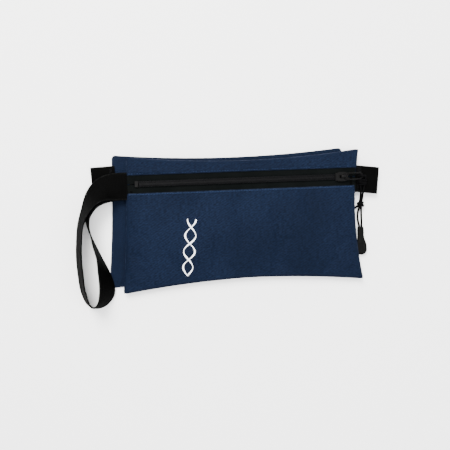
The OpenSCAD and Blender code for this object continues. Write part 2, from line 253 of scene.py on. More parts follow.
# Webbing: fat ribs across the band in chevroned columns
def webbingFinish(name, face, thread, rib, column):
    f = Finish(name)
    cut = f.cut()
    x, y, edge = f.parts(cut)
    zigzag = f.size(f.wave(y * (math.pi / column))) * 0.9
    ribs = f.wave(x * (2 * math.pi / rib) + zigzag * 4) * 0.5 + 0.5
    columns = f.size(f.wave(y * (math.pi / column)))
    fuzz = f.grain(f.place(), 900, 3)
    fade = f.grain(f.place(), 40, 3)
    worn = f.ease(edge, 0.3, 1.0) * f.ease(fuzz, 0.4, 0.7)
    colour = f.mix(ribs * 0.45 + fuzz * 0.25, face, thread)
    shade = f.mix(f.ease(fade, 0.35, 0.7) * 0.3, colour, tuple(c * 0.6 for c in face[:3]) + (1,))
    rubbed = f.mix(worn * 0.55, shade, tuple(min(1, c * 2.4 + 0.004) for c in thread[:3]) + (1,))
    height = ribs * 0.6 + columns * 0.5
    return f.set(colour=rubbed, roughness=0.62 + fuzz * 0.25,
                 normal=f.relief(fuzz, 0.15, 0.1 * mm, f.relief(height, 0.55, 0.3 * mm)),
                 specular=0.1, ior=1.1)


# Twisted or braided yarn, for cord and thread
def yarnFinish(name, face, light, pitch, around, depth, gloss):
    f = Finish(name)
    cut = f.cut()
    x, y, edge = f.parts(cut)
    oneWay = f.wave(x * (2 * math.pi / pitch) + y * around)
    otherWay = f.wave(x * (2 * math.pi / pitch) - y * around)
    braid = oneWay * otherWay * 0.5 + 0.5
    fuzz = f.grain(f.place(), 1400, 2)
    colour = f.mix(braid * 0.6 + fuzz * 0.3, face, light)
    return f.set(colour=colour, roughness=gloss + fuzz * 0.2,
                 normal=f.relief(braid, 0.6, depth), specular=0.1, ior=1.15)


# Enamelled metal or moulded plastic, satin, with fine grain and rubbed spots
def castFinish(name, face, rubbed, roughness, metallic, scale, gloss=0.3):
    f = Finish(name)
    place = f.place()
    grain = f.grain(place, scale, 4)
    cloud = f.grain(place, 90, 3)
    spots = f.ease(f.grain(place, scale * 0.35, 5), 0.6, 0.74)
    colour = f.mix(spots * 0.55, f.mix(cloud * 0.5, face, tuple(c * 1.5 for c in face[:3]) + (1,)), rubbed)
    return f.set(colour=colour, roughness=roughness + cloud * 0.18 - spots * 0.08,
                 metallic=metallic, normal=f.relief(grain, 0.12, 0.08 * mm), specular=gloss)


navyCloth = clothFinish("navyCloth", linear(3, 6, 14), linear(16, 24, 41), 0.85 * mm)
tapeWeave = webbingFinish("tapeWeave", linear(3, 4, 4), linear(15, 17, 17), 0.9 * mm, 1.3 * mm)
blackWebbing = webbingFinish("blackWebbing", linear(1, 1, 1), linear(9, 9, 9), 1.6 * mm, 2.6 * mm)
blackThread = yarnFinish("blackThread", linear(4, 4, 5), linear(24, 24, 26), 0.7 * mm, 2, 0.1 * mm, 0.5)
blueThread = yarnFinish("blueThread", linear(12, 22, 44), linear(48, 62, 90), 0.7 * mm, 2, 0.1 * mm, 0.5)
cordBraid = yarnFinish("cordBraid", linear(1, 1, 1), linear(10, 10, 11), 1.5 * mm, 2, 0.2 * mm, 0.6)
coilNylon = castFinish("coilNylon", linear(2, 2, 3), linear(13, 13, 14), 0.45, 0.0, 900, 0.1)
sliderEnamel = castFinish("sliderEnamel", linear(1, 1, 1), linear(30, 29, 27), 0.34, 0.0, 700, 0.06)
springSteel = castFinish("springSteel", linear(130, 130, 134), linear(180, 178, 170), 0.28, 1.0, 900)
gripRubber = castFinish("gripRubber", linear(1, 1, 1), linear(9, 9, 10), 0.55, 0.0, 1100, 0.06)
whiteInk = castFinish("whiteInk", linear(232, 234, 238), linear(206, 210, 220), 0.5, 0.0, 600)
print("finishes made")


# Mesh making
def makeMesh(name, points, faces, material, cuts=None, sharp=50):
    mesh = bpy.data.meshes.new(name)
    mesh.from_pydata([tuple(p) for p in points], [], faces)
    mesh.validate()
    if cuts is not None:
        held = mesh.attributes.new("cut", "FLOAT_VECTOR", "POINT")
        held.data.foreach_set("vector", np.array(cuts, np.float32).ravel())
    mesh.shade_smooth()
    mesh.set_sharp_from_angle(angle=math.radians(sharp))
    piece = bpy.data.objects.new(name, mesh)
    bpy.context.scene.collection.objects.link(piece)
    mesh.materials.append(material)
    return piece


def gridNormals(grid):
    across = np.gradient(grid, axis=1)
    along = np.gradient(grid, axis=0)
    n = np.cross(across, along)
    return n / np.maximum(np.linalg.norm(n, axis=2, keepdims=True), 1e-12)


# A grid of points as a closed sheet of cloth, its second face a thickness behind the first
def makeSheet(name, grid, cuts, thickness, material):
    rows, columns = grid.shape[:2]
    behind = grid - gridNormals(grid) * thickness
    points = np.concatenate([grid.reshape(-1, 3), behind.reshape(-1, 3)])
    total = rows * columns
    faces = []
    for j in range(rows - 1):
        for i in range(columns - 1):
            a = j * columns + i
            faces.append((a, a + 1, a + columns + 1, a + columns))
            b = a + total
            faces.append((b, b + columns, b + columns + 1, b + 1))
    rim = ([i for i in range(columns)] + [j * columns + columns - 1 for j in range(1, rows)]
           + [(rows - 1) * columns + i for i in range(columns - 2, -1, -1)]
           + [j * columns for j in range(rows - 2, 0, -1)])
    for k, a in enumerate(rim):
        b = rim[(k + 1) % len(rim)]
        faces.append((a, a + total, b + total, b))
    return makeMesh(name, points, faces, material, np.concatenate([cuts.reshape(-1, 3)] * 2))


def smoothLine(stations, steps):
    p = np.array(stations, float)
    line = []
    last = len(p) - 1
    for i in range(last):
        a, b, c, d = p[max(i - 1, 0)], p[i], p[i + 1], p[min(i + 2, last)]
        for k in range(steps):
            t = k / steps
            line.append(0.5 * (2 * b + t * (c - a) + t * t * (2 * a - 5 * b + 4 * c - d)
                               + t ** 3 * (3 * b - a - 3 * c + d)))
    line.append(p[last])
    return np.array(line)


def alongLine(line):
    return np.concatenate([[0], np.cumsum(np.linalg.norm(np.diff(line, axis=0), axis=1))])


# Points and faces of a round tube, with its cut coordinates, to be joined with others
def tubeParts(line, radius, sides, offset=0):
    line = np.array(line, float)
    radii = np.full(len(line), radius, float) if np.isscalar(radius) else np.array(radius, float)
    ahead = np.gradient(line, axis=0)
    ahead /= np.maximum(np.linalg.norm(ahead, axis=1, keepdims=True), 1e-12)
    side = np.cross(ahead[0], [0, 0, 1.0])
    if np.linalg.norm(side) < 0.2:
        side = np.cross(ahead[0], [0, 1.0, 0])
    length = alongLine(line)
    points, cuts, faces = [], [], []
    for i, (p, t) in enumerate(zip(line, ahead)):
        side = side - t * np.dot(side, t)
        side /= max(np.linalg.norm(side), 1e-12)
        up = np.cross(side, t)
        for j in range(sides):
            a = 2 * math.pi * j / sides
            points.append(p + radii[i] * (math.cos(a) * side + math.sin(a) * up))
            cuts.append((length[i], a, 0))
    for i in range(len(line) - 1):
        for j in range(sides):
            a, b = i * sides + j, i * sides + (j + 1) % sides
            faces.append((offset + a, offset + b, offset + b + sides, offset + a + sides))
    faces.append(tuple(offset + j for j in reversed(range(sides))))
    faces.append(tuple(offset + (len(line) - 1) * sides + j for j in range(sides)))
    return points, faces, cuts


def makeTubes(name, lines, radius, sides, material):
    points, faces, cuts = [], [], []
    for line in lines:
        p, f, c = tubeParts(line, radius, sides, len(points))
        points += p
        faces += f
        cuts += c
    return makeMesh(name, points, faces, material, cuts)


# A flat woven band along a line, each station with its own across direction
def makeBand(name, line, across, width, thickness, material):
    line, across = np.array(line, float), np.array(across, float)
    ahead = np.gradient(line, axis=0)
    ahead /= np.linalg.norm(ahead, axis=1, keepdims=True)
    across = across - ahead * (across * ahead).sum(1)[:, None]
    across /= np.linalg.norm(across, axis=1, keepdims=True)
    out = np.cross(ahead, across)
    length = alongLine(line)
    half, edge = width / 2, thickness / 2
    steps = 14
    section = [(half - edge + edge * math.cos(a), edge * math.sin(a))
               for a in (-1.2, -0.4, 0.4, 1.2)]
    top = [(half * (1 - 2 * k / steps) * 0.955, edge) for k in range(1, steps)]
    section = section + top + [(-x, -z) for x, z in section] + [(-x, -z) for x, z in top]
    count = len(section)
    points, faces, cuts = [], [], []
    for i in range(len(line)):
        for x, z in section:
            ripple = 0.04 * mm * math.sin(x / (1.3 * mm) * math.pi)
            rough = 1 if abs(x) > half * 0.93 else 0
            points.append(line[i] + across[i] * x + out[i] * (z + math.copysign(ripple, z)))
            cuts.append((length[i], x, rough))
    for i in range(len(line) - 1):
        for j in range(count):
            a, b = i * count + j, i * count + (j + 1) % count
            faces.append((a, b, b + count, a + count))
    faces.append(tuple(reversed(range(count))))
    faces.append(tuple((len(line) - 1) * count + j for j in range(count)))
    return makeMesh(name, points, faces, material, cuts)


# Camera, set at the angle that the bag is seen from
camera = {"distance": 0.600, "lens": 40.7, "tilt": (-0.55, -3.45, -2.40), "aim": (-0.0053, -0.0110, 0.0079)}


def makeCamera():
    held = bpy.data.cameras.new("viewCamera")
    seen = bpy.data.objects.new("viewCamera", held)
    bpy.context.scene.collection.objects.link(seen)
    held.sensor_width, held.lens = 36, camera["lens"]
    turn = Euler([math.radians(angle) for angle in camera["tilt"]]).to_matrix()
    place = Vector(camera["aim"]) + turn @ Vector((0, 0, camera["distance"]))
    seen.matrix_world = Matrix.Translation(place) @ turn.to_4x4()
    held.clip_start, held.clip_end = 0.01, 20
    bpy.context.scene.camera = seen


makeCamera()

# The puller's cords, along the same points as the frame's
puller = {"cord": 2.4 * mm, "sides": 12, "braidSteps": 6, "between": 141.7 * mm, "hitch": 38.6 * mm}
tieRoute = [(142.7, 15.2, 5.2), (142.9, 19, 7.2), (142.9, 24, 9.8), (143.5, 30, 11.8),
            (144.4, 37, 13), (144.9, 42, 14.6), (144.5, 44.2, 16.6), (143.4, 44.5, 18.2),
            (141.4, 44.5, 18.8), (139.4, 44.5, 18.2), (138.3, 44.3, 16.6), (138, 43.2, 14.6),
            (138.2, 41.6, 13.3), (139, 37.5, 12.5), (140, 30, 11.6), (140.4, 24, 9.6),
            (140.5, 19, 7.2), (140.2, 15.2, 5.2)]
pullRoute = [(140.2, 7, 3.6), (138.6, 3.5, 2.7), (138, -1, 2.2), (138, -6, 2.1),
             (138.5, -11, 2.6), (139.1, -15, 3.3), (139.1, -26, 3.5), (137.6, -34, 3.5),
             (136.6, -41, 3.5), (138, -45.5, 3.5), (140.5, -47, 3.5), (143, -45.5, 3.5),
             (144.4, -41, 3.5), (143.4, -34, 3.5), (141.9, -26, 3.5), (141.9, -15, 3.3),
             (142.3, -11, 2.6), (142.5, -6, 2.1), (142.5, -1, 2.2), (142.4, 3.5, 2.8),
             (142.2, 7, 3.7)]


def onFront(route):                              # from the front panel's frame, in mm, to the row's
    return [(frontMid + x * mm, frontMidY + y * mm, z * mm) for x, y, z in route]


def makeCord(name, route):
    line = smoothLine(onFront(route), puller["braidSteps"])
    points, faces, cuts = tubeParts(line, puller["cord"] / 2, puller["sides"])
    piece = makeMesh(name, points, faces, cordBraid, cuts)
    return piece, line, float(alongLine(line)[-1])


tieCord, tieLine, tieLength = makeCord("tieCord", tieRoute)
pullCord, pullLine, pullLength = makeCord("pullCord", pullRoute)
print("cords", round(tieLength, 4), round(pullLength, 4))


# The knot: two wraps round the standing cords and a short tail that lies on the table
def makeKnot():
    centre = (knotLow + knotHigh) / 2
    reach = (knotHigh.y - knotLow.y) / 2
    wraps = []
    for turn, (lift, lean) in enumerate([(0.30, 0.35), (-0.05, -0.3), (-0.42, 0.25)]):
        ring = []
        for k in range(33):
            a = 2 * math.pi * k / 32
            ring.append((centre.x + math.cos(a) * reach * 0.72,
                         centre.y + lift * reach * 1.25 + math.sin(a + turn) * lean * reach * 0.45,
                         centre.z + math.sin(a) * reach * 0.72))
        wraps.append(ring)
    cross = [(centre.x + reach * (-0.72 + 1.44 * t), centre.y + reach * (0.55 - 1.1 * t),
              centre.z + reach * (0.55 + 0.3 * math.sin(math.pi * t))) for t in np.linspace(0, 1, 12)]
    wraps.append(cross)
    standing = []
    for side in (-1, 1):
        standing.append([(centre.x + side * 1.0 * mm, centre.y + reach * (1.08 - 2.1 * t),
                          centre.z + (0.9 - 1.4 * t) * mm) for t in np.linspace(0, 1, 14)])
    tail = smoothLine([(centre.x - 1.5 * mm, centre.y - 1.0 * mm, centre.z - 0.4 * mm),
                       (centre.x - 4.2 * mm, centre.y - 2.4 * mm, centre.z - 1.2 * mm),
                       (centre.x - 6.6 * mm, centre.y - 4.4 * mm, centre.z - 2.2 * mm),
                       (centre.x - 8.6 * mm, centre.y - 4.6 * mm, centre.z - 2.8 * mm)], 5)
    return makeTubes("tieKnot", wraps + standing + [tail], puller["cord"] / 2, 12, cordBraid)


tieKnot = makeKnot()


# The hitch: the cord's own turns round both strands, just under the bail's end
def makeHitch():
    turns = []
    between = frontMid + puller["between"]       # the line that parts the two strands
    for k, (down, lean) in enumerate([(0.0, 0.5), (2.1, -0.4), (4.2, 0.4)]):
        y = frontMidY + puller["hitch"] - down * mm
        spot = tieLine[np.argmin(abs(tieLine[:, 1] - y) + (tieLine[:, 0] < between))]
        twin = tieLine[np.argmin(abs(tieLine[:, 1] - spot[1]) + (tieLine[:, 0] > between))]
        middle, half = (spot + twin) / 2, abs(spot[0] - twin[0]) / 2 + puller["cord"] * 0.62
        high = puller["cord"] * 0.95
        turns.append([(middle[0] + math.cos(a) * half, middle[1] + math.sin(a + k) * lean * mm,
                       middle[2] + math.sin(a) * high) for a in np.linspace(0, 2 * math.pi, 41)])
    return makeTubes("tieHitch", turns, puller["cord"] * 0.46, 12, cordBraid)


tieHitch = makeHitch()


# The grip: a ribbed neck that swells to a paddle with a raised rim
grip = {"rings": 64, "sides": 40, "neck": 3.6 * mm}


def makeGrip():
    top, bottom = gripHigh.y, gripLow.y
    midX = (gripLow.x + gripHigh.x) / 2
    bulb = (gripHigh.x - gripLow.x) / 2
    midZ, thick = (gripLow.z + gripHigh.z) / 2, (gripHigh.z - gripLow.z) / 2
    length = top - bottom
    points, faces, cuts = [], [], []
    for i in range(grip["rings"] + 1):
        t = i / grip["rings"]
        swell = smoothStep(0.30, 0.70, t)
        half = grip["neck"] + (bulb - grip["neck"]) * swell
        deep = thick * (0.74 + 0.26 * swell)
        if t < 0.05:
            half *= 0.86 + 2.8 * t
            deep *= 0.86 + 2.8 * t
        if t < 0.36:
            rib = 0.5 + 0.5 * math.cos(2 * math.pi * t / 0.072)
            half += 0.42 * mm * rib
            deep += 0.30 * mm * rib
        if t > 0.80:
            cap = math.sqrt(max(0.0, 1 - ((t - 0.80) / 0.20) ** 2))
            half *= max(cap, 0.02)
            deep *= max(cap ** 0.7, 0.02)
        y = top - length * t
        for j in range(grip["sides"]):
            a = 2 * math.pi * j / grip["sides"]
            c, s = math.cos(a), math.sin(a)
            x = math.copysign(abs(c) ** 0.8, c) * half
            z = math.copysign(abs(s) ** 0.8, s) * deep
            if 0.56 < t < 0.9 and abs(s) > 0.3:  # a shallow thumb dish on both faces
                dish = smoothStep(0.56, 0.64, t) * (1 - smoothStep(0.82, 0.9, t))
                z -= math.copysign(0.7 * mm * dish * smoothStep(0.25, 0.8, 1 - abs(x) / bulb), s)
            points.append((midX + x, y, midZ + z))
            cuts.append((t * length, a, 0))
    sides = grip["sides"]
    for i in range(grip["rings"]):
        for j in range(sides):
            a, b = i * sides + j, i * sides + (j + 1) % sides
            faces.append((a, a + sides, b + sides, b))
    faces.append(tuple(range(sides)))
    faces.append(tuple(grip["rings"] * sides + j for j in reversed(range(sides))))
    return makeMesh("pullGrip", points, faces, gripRubber, cuts)


pullGrip = makeGrip()
for piece, body, node, slotName in [(tieCord, "puller", "tie_cord", "cord"),
                                    (tieHitch, "puller", "tie_cord", "cord"),
                                    (tieKnot, "grip", "tie_knot", "cord"),
                                    (pullCord, "grip", "pull_cord", "cord"),
                                    (pullGrip, "grip", "pull_grip", "grip_rubber")]:
    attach(piece, body)
    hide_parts(node)
print("puller made")

# The front panel's cloth, puffed and creased by simulation
front = {"columns": 132, "rows": 56, "growth": 0.012, "pressure": 2.2, "steps": 24,
         "highest": 7.0 * mm, "lowest": -2.0 * mm, "hem": 7 * mm}


def pucker(edge, along, seed, reach=9 * mm, height=0.45 * mm, spacing=12 * mm):
    if edge > 4 * reach:
        return 0.0
    drift = noise.noise(Vector((along / (30 * mm), seed, 0.0)))
    lines = math.sin(2 * math.pi * along / spacing + 5 * drift)
    lines *= 0.6 + 0.8 * noise.noise(Vector((along / (22 * mm), seed + 7.0, 3.0)))
    return height * lines * math.exp(-edge / reach)


def rumple(x, y, seed, height):
    wide = noise.noise(Vector((x / (55 * mm), y / (34 * mm), seed)))
    close = noise.noise(Vector((x / (17 * mm), y / (24 * mm), seed + 5.0)))
    return height * (wide + 0.35 * close)


def rolled(edge, radius):                        # how far cloth drops where it turns into a seam
    if edge >= radius:
        return 0.0
    return -radius * (1 - math.sqrt(max(0.0, 1 - (1 - edge / radius) ** 2)))


# A point near a corner, drawn in so that the corner turns on an arc
def roundedCorner(x, y, fromSide, fromEnd, side, end):
    reach = pouch["cornerRound"]
    if fromSide >= reach or fromEnd >= reach:
        return x, y
    a, b = 1 - fromSide / reach, 1 - fromEnd / reach
    return (x - side * reach * a * (1 - math.sqrt(1 - b * b / 2)),
            y - end * reach * b * (1 - math.sqrt(1 - a * a / 2)))


def panelPoint(u, v, low, high, corners):
    x = frontMid + halfWidth * u
    for again in range(3):
        y = low(x) + (high(x) - low(x)) * v
        x = leftEdge(y) + (rightEdge(y) - leftEdge(y)) * (u + 1) / 2
    side = -1 if u < 0 else 1
    fromSide = x - leftEdge(y) if u < 0 else rightEdge(y) - x
    fromEnd = y - low(x) if corners < 0 else high(x) - y
    return roundedCorner(x, y, fromSide, fromEnd, side, corners)


def edgeGap(x, y):
    return max(0.0, min(x - leftEdge(y), rightEdge(y) - x, y - bottomEdge(x), topEdge(x) - y))


def simulated(grid):
    rows, columns = grid.shape[:2]
    faces = [(j * columns + i, j * columns + i + 1, (j + 1) * columns + i + 1, (j + 1) * columns + i)
             for j in range(rows - 1) for i in range(columns - 1)]
    sheet = makeMesh("simulatedCloth", grid.reshape(-1, 3), faces, navyCloth)
    pinned = sheet.vertex_groups.new(name="pinned")
    held = [j * columns + i for j in range(rows) for i in range(columns)
            if i in (0, 1, columns - 2, columns - 1) or j in (0, rows - 2, rows - 1)]
    pinned.add(held, 1.0, "REPLACE")
    cloth = sheet.modifiers.new("Cloth", "CLOTH")
    settings = cloth.settings
    settings.quality = 8
    settings.mass = 0.25
    settings.tension_stiffness = settings.compression_stiffness = 25
    settings.shear_stiffness = 8
    settings.bending_stiffness = 1.2
    settings.vertex_group_mass = "pinned"
    settings.shrink_min = settings.shrink_max = -front["growth"]
    settings.use_pressure = True
    settings.uniform_pressure_force = front["pressure"]
    settings.effector_weights.gravity = 0
    scene = bpy.context.scene
    scene.frame_start, scene.frame_end = 1, front["steps"]
    cloth.point_cache.frame_start, cloth.point_cache.frame_end = 1, front["steps"]
    for step in range(1, front["steps"] + 1):
        scene.frame_set(step)
    settled = sheet.evaluated_get(bpy.context.evaluated_depsgraph_get())
    points = np.array([v.co for v in settled.data.vertices], float).reshape(grid.shape)
    scene.frame_set(1)
    bpy.data.objects.remove(sheet, do_unlink=True)
    return points


def lowerPanel():
    columns, rows = front["columns"], front["rows"]
    grid = np.zeros((rows, columns, 3))
    cuts = np.zeros((rows, columns, 3))
    for j in range(rows):
        for i in range(columns):
            x, y = panelPoint(2 * i / (columns - 1) - 1, j / (rows - 1), bottomEdge, lambda x: showLow, -1)
            lift = 0.5 * mm * noise.noise(Vector((x / (40 * mm), y / (26 * mm), 2.0)))
            inside = smoothStep(0, 12 * mm, min(edgeGap(x, y), showLow - y))
            grid[j, i] = (x, y, frontFace + (lift + 0.4 * mm) * inside)
            cuts[j, i] = (x, y, 0)
    settled = simulated(grid)
    move = settled - grid
    for j in range(rows):
        for i in range(columns):
            inside = min(edgeGap(*grid[j, i, :2]), showLow - grid[j, i, 1])
            free = smoothStep(7 * mm, 20 * mm, inside)
            move[j, i, 2] = min(front["highest"], max(front["lowest"] * free, move[j, i, 2]))
    move[:, :, :2] = np.clip(move[:, :, :2], -1.5 * mm, 1.5 * mm)
    print("cloth moved", np.round(move[:, :, 2].min() * 1000, 2), np.round(move[:, :, 2].max() * 1000, 2))
    grid = grid + move
    for j in range(rows):
        for i in range(columns):
            x, y, z = grid[j, i]
            edge, fromZip = edgeGap(x, y), showLow - y
            z += pucker(edge, x + y, 1.0) * smoothStep(0, 3 * mm, edge)
            z += pucker(fromZip, x, 4.0, reach=7 * mm, height=0.22 * mm, spacing=9 * mm)
            z += rolled(edge, pouch["seamRoll"])
            z += 0.45 * mm * (1 - smoothStep(front["hem"] - 1.2 * mm, front["hem"] + 0.6 * mm, fromZip))
            z += rolled(max(0.0, fromZip), 0.7 * mm)
            grid[j, i, 2] = z
            cuts[j, i, 2] = max(1 - edge / (2.5 * mm), 1 - abs(fromZip) / (1.0 * mm), 0)
    return grid, cuts


lowerGrid, lowerCuts = lowerPanel()
lowerCloth = makeSheet("frontLowerCloth", lowerGrid, lowerCuts, pouch["cloth"], navyCloth)
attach(lowerCloth, "front")
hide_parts("front_lower_panel")
print("lower panel made")


def lowerHeight(x, y):                           # height of the lower panel's face at a place
    gaps = (lowerGrid[:, :, 0] - x) ** 2 + (lowerGrid[:, :, 1] - y) ** 2
    j, i = np.unravel_index(np.argmin(gaps), gaps.shape)
    return lowerGrid[j, i, 2]


# The header, in two halves that meet at the middle
def headerHalf(name, fromShare, toShare, columns=70, rows=22):
    grid = np.zeros((rows, columns, 3))
    cuts = np.zeros((rows, columns, 3))
    for j in range(rows):
        for i in range(columns):
            u = fromShare + (toShare - fromShare) * i / (columns - 1)
            x, y = panelPoint(u, j / (rows - 1), lambda x: showHigh, topEdge, 1)
            edge, fromZip = edgeGap(x, y), y - showHigh
            inside = smoothStep(0, 8 * mm, min(edge, fromZip))
            z = frontFace + 0.3 * mm + rumple(x, y, 11.0, 0.55 * mm) * inside
            z += pucker(edge, x, 9.0, height=0.5 * mm) * smoothStep(0, 3 * mm, edge)
            z += rolled(edge, pouch["seamRoll"]) + rolled(fromZip, 0.7 * mm)
            z += 0.4 * mm * (1 - smoothStep(front["hem"] - 1.2 * mm, front["hem"] + 0.6 * mm, fromZip))
            z += 0.8 * mm * smoothStep(0, 4 * mm, fromZip) * min(1.0, edge / (16 * mm))
            grid[j, i] = (x, y, z)
            cuts[j, i] = (x, y, max(1 - edge / (2.5 * mm), 1 - fromZip / (1.0 * mm), 0))
    piece = makeSheet(name, grid, cuts, pouch["cloth"], navyCloth)
    return piece


mouth = {"travel": 231 * mm, "rightRoom": 2 * mm, "leftRoom": 6 * mm}
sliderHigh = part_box("slider_body")[1]


def blendMouth(piece, side):                     # bakes the piece's placement into its mesh; the end it works out is not used
    end = sliderHigh.x + (mouth["rightRoom"] if side > 0 else mouth["leftRoom"] - mouth["travel"])
    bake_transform(piece)
    return piece


headerLeft = headerHalf("headerClothLeft", -1, 0)
headerRight = headerHalf("headerClothRight", 0, 1)
for piece, side in ((headerLeft, -1), (headerRight, 1)):
    blendMouth(piece, side)
    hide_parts("header_lip", "header_band")
print("header made")


# The gusset, folded inward between the two panels
def turned(spot, edge, u, long, high):           # an outline point, carried round its panel's corner
    turn, level = (1 if u > 0 else -1), edge % 2 == 0
    along = (long if level else high) * (1 - abs(u))
    side, end = ((turn, -1), (1, turn), (-turn, 1), (-1, -turn))[edge]
    return roundedCorner(*spot, along if level else 0, 0 if level else along, side, end)


def frontOutline(edge, u, inset):
    w, h = halfWidth - inset, halfHeight - inset
    spots = [(w * u, -h + pouch["pullBottom"] * bow(u)), (w - pouch["pullRight"] * bow(u), h * u),
             (-w * u, h - pouch["pullTop"] * bow(u)), (-w + pouch["pullLeft"] * bow(u), -h * u)]
    x, y = leaning(*turned(spots[edge], edge, u, w, h), halfWidth, halfHeight)
    return np.array([frontMid + x, frontMidY + y])


def backOutline(edge, u, inset):
    w, h = backHalfWidth - inset, backHalfHeight - inset
    spots = [(w * u, -h + pouch["backBottom"] * bow(u)), (w - pouch["backSide"] * bow(u), h * u),
             (-w * u, h - pouch["backTop"] * bow(u)), (-w + pouch["backSide"] * bow(u), -h * u)]
    return np.array(leaning(*turned(spots[edge], edge, u, w, h), backHalfWidth, backHalfHeight))


gusset = {"columns": (110, 64, 110, 64), "rows": 17, "frontInset": 0.7 * mm, "backInset": 0.9 * mm,
          "frontDrop": 2.3 * mm, "backRise": 0.6 * mm, "foldShare": 0.42, "halfCut": 0.13, "depth": 0.036,
          "lengths": (0.27, 0.15, 0.27, 0.15)}


def gussetStrip(name, edge):
    columns, rows = gusset["columns"][edge], gusset["rows"]
    grid = np.zeros((rows, columns, 3))
    cuts = np.zeros((rows, columns, 3))
    topZ = frontFace - gusset["frontDrop"]
    lowZ = backHigh.z + gusset["backRise"]
    foldZ = frontUnder * gusset["foldShare"]
    for i in range(columns):
        u = 2 * i / (columns - 1) - 1
        upper = np.append(frontOutline(edge, u, gusset["frontInset"]), topZ)
        lower = np.append(backOutline(edge, u, gusset["backInset"]), lowZ)
        inward = frontOutline(edge, u, pouch["foldDepth"]) + backOutline(edge, u, pouch["foldDepth"])
        fold = np.append(inward / 2, foldZ)
        pull = 2 * fold - (upper + lower) / 2
        for j in range(rows):
            t = j / (rows - 1)
            p = (1 - t) ** 2 * upper + 2 * t * (1 - t) * pull + t * t * lower
            ripple = pucker(0, u * gusset["halfCut"], 20.0 + edge, height=0.35 * mm, spacing=17 * mm)
            p[2] += ripple * math.sin(math.pi * t) * smoothStep(0, 0.12, 1 - abs(u))
            grid[j, i] = p
            cuts[j, i] = (u * gusset["halfCut"], t * gusset["depth"], 0.6 * (abs(2 * t - 1) ** 6))
    piece = makeSheet(name, grid[:, ::-1], cuts[:, ::-1], pouch["cloth"] * 0.7, navyCloth)
    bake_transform(piece)
    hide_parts(name.replace("Strip", "").replace("gusset", "gusset_").lower())


for edge, side in enumerate(("Bottom", "Right", "Top", "Left")):
    gussetStrip(f"gusset{side}Strip", edge)
print("gusset made")


# The back panel: flat where it lies, turned up into its seam all round
def backSheet(columns=130, rows=76):
    grid = np.zeros((rows, columns, 3))
    cuts = np.zeros((rows, columns, 3))
    for j in range(rows):
        v = 2 * j / (rows - 1) - 1
        for i in range(columns):
            u = 2 * i / (columns - 1) - 1
            low = pouch["backBottom"] * bow(u) - backHalfHeight
            high = backHalfHeight - pouch["backTop"] * bow(u)
            y = low + (high - low) * (v + 1) / 2
            reach = backHalfWidth - pouch["backSide"] * bow(v)
            edge = min(reach * (1 - abs(u)), y - low, high - y)
            x, y = roundedCorner(reach * u, y, reach * (1 - abs(u)), min(y - low, high - y),
                                 -1 if u < 0 else 1, -1 if v < 0 else 1)
            x, y = leaning(x, y, backHalfWidth, backHalfHeight)
            z = backHigh.z + rumple(x, y, 31.0, 0.25 * mm) * smoothStep(0, 8 * mm, edge) * 0.5
            z += 0.7 * mm * (1 - smoothStep(0, 4 * mm, edge))
            z += pucker(edge, x + y, 33.0, height=0.25 * mm)
            grid[j, i] = (x, y, max(z, backHigh.z - 0.1 * mm))
            cuts[j, i] = (x, y, max(1 - edge / (2.5 * mm), 0))
    return makeSheet("backCloth", grid, cuts, pouch["cloth"] * 0.85, navyCloth)


backCloth = backSheet()
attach(backCloth, "back")
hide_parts("back_panel")
print("back made")

# The zip
zipper = {"tapeFrom": leftEdge(zipY) + 1.0 * mm, "tapeTo": rightEdge(zipY) - 1.0 * mm,
          "tapeIn": 0.5 * mm, "tapeOut": 15 * mm, "coilOut": 3.3 * mm,
          "wire": 0.36 * mm, "pitch": 1.25 * mm, "head": 0.75 * mm}


def tapeStrip(name, side, fromX, toX, columns=90, rows=9):
    grid = np.zeros((rows, columns, 3))
    cuts = np.zeros((rows, columns, 3))
    for j in range(rows):
        for i in range(columns):
            x = fromX + (toX - fromX) * i / (columns - 1)
            away = zipper["tapeIn"] + (zipper["tapeOut"] - zipper["tapeIn"]) * j / (rows - 1)
            y = zipY + side * away
            z = tapeHigh.z + 0.12 * mm * noise.noise(Vector((x / (12 * mm), y / (6 * mm), 40.0 + side)))
            grid[j, i] = (x, y, min(z, frontUnder + 0.08 * mm))
            cuts[j, i] = (x, y, 0)
    if side < 0:
        grid, cuts = grid[::-1], cuts[::-1]
    piece = makeSheet(name, grid, cuts, 0.45 * mm, tapeWeave)
    return piece


# One turn of a coil: out along the tape, up, over the middle, and back down
def coilTurn(x, side):
    out, over, wide = zipper["coilOut"], -zipper["head"], zipper["pitch"]
    base, top = coilLow.z + 0.45 * mm, coilHigh.z - 0.35 * mm
    shape = [(0.00, out * 0.94, base), (0.02, out, (base + top) / 2), (0.06, out * 0.93, top - 0.12 * mm),
             (0.12, out * 0.55, top), (0.18, 0.1 * mm, top - 0.02 * mm), (0.24, over, top - 0.35 * mm),
             (0.28, over * 1.25, (base + top) / 2), (0.32, over, base + 0.3 * mm),
             (0.42, out * 0.35, base), (0.6, out * 0.8, base)]
    return [(x + wide * share * 0.62, zipY + side * away, z) for share, away, z in shape]


def coilRow(name, side, fromX, toX):
    start = 0 if side > 0 else zipper["pitch"] / 2
    count = int((toX - fromX) / zipper["pitch"] + 0.01)
    turns = [coilTurn(fromX + start + k * zipper["pitch"], side) for k in range(count)]
    piece = makeTubes(name, turns, zipper["wire"], 6, coilNylon)
    return piece


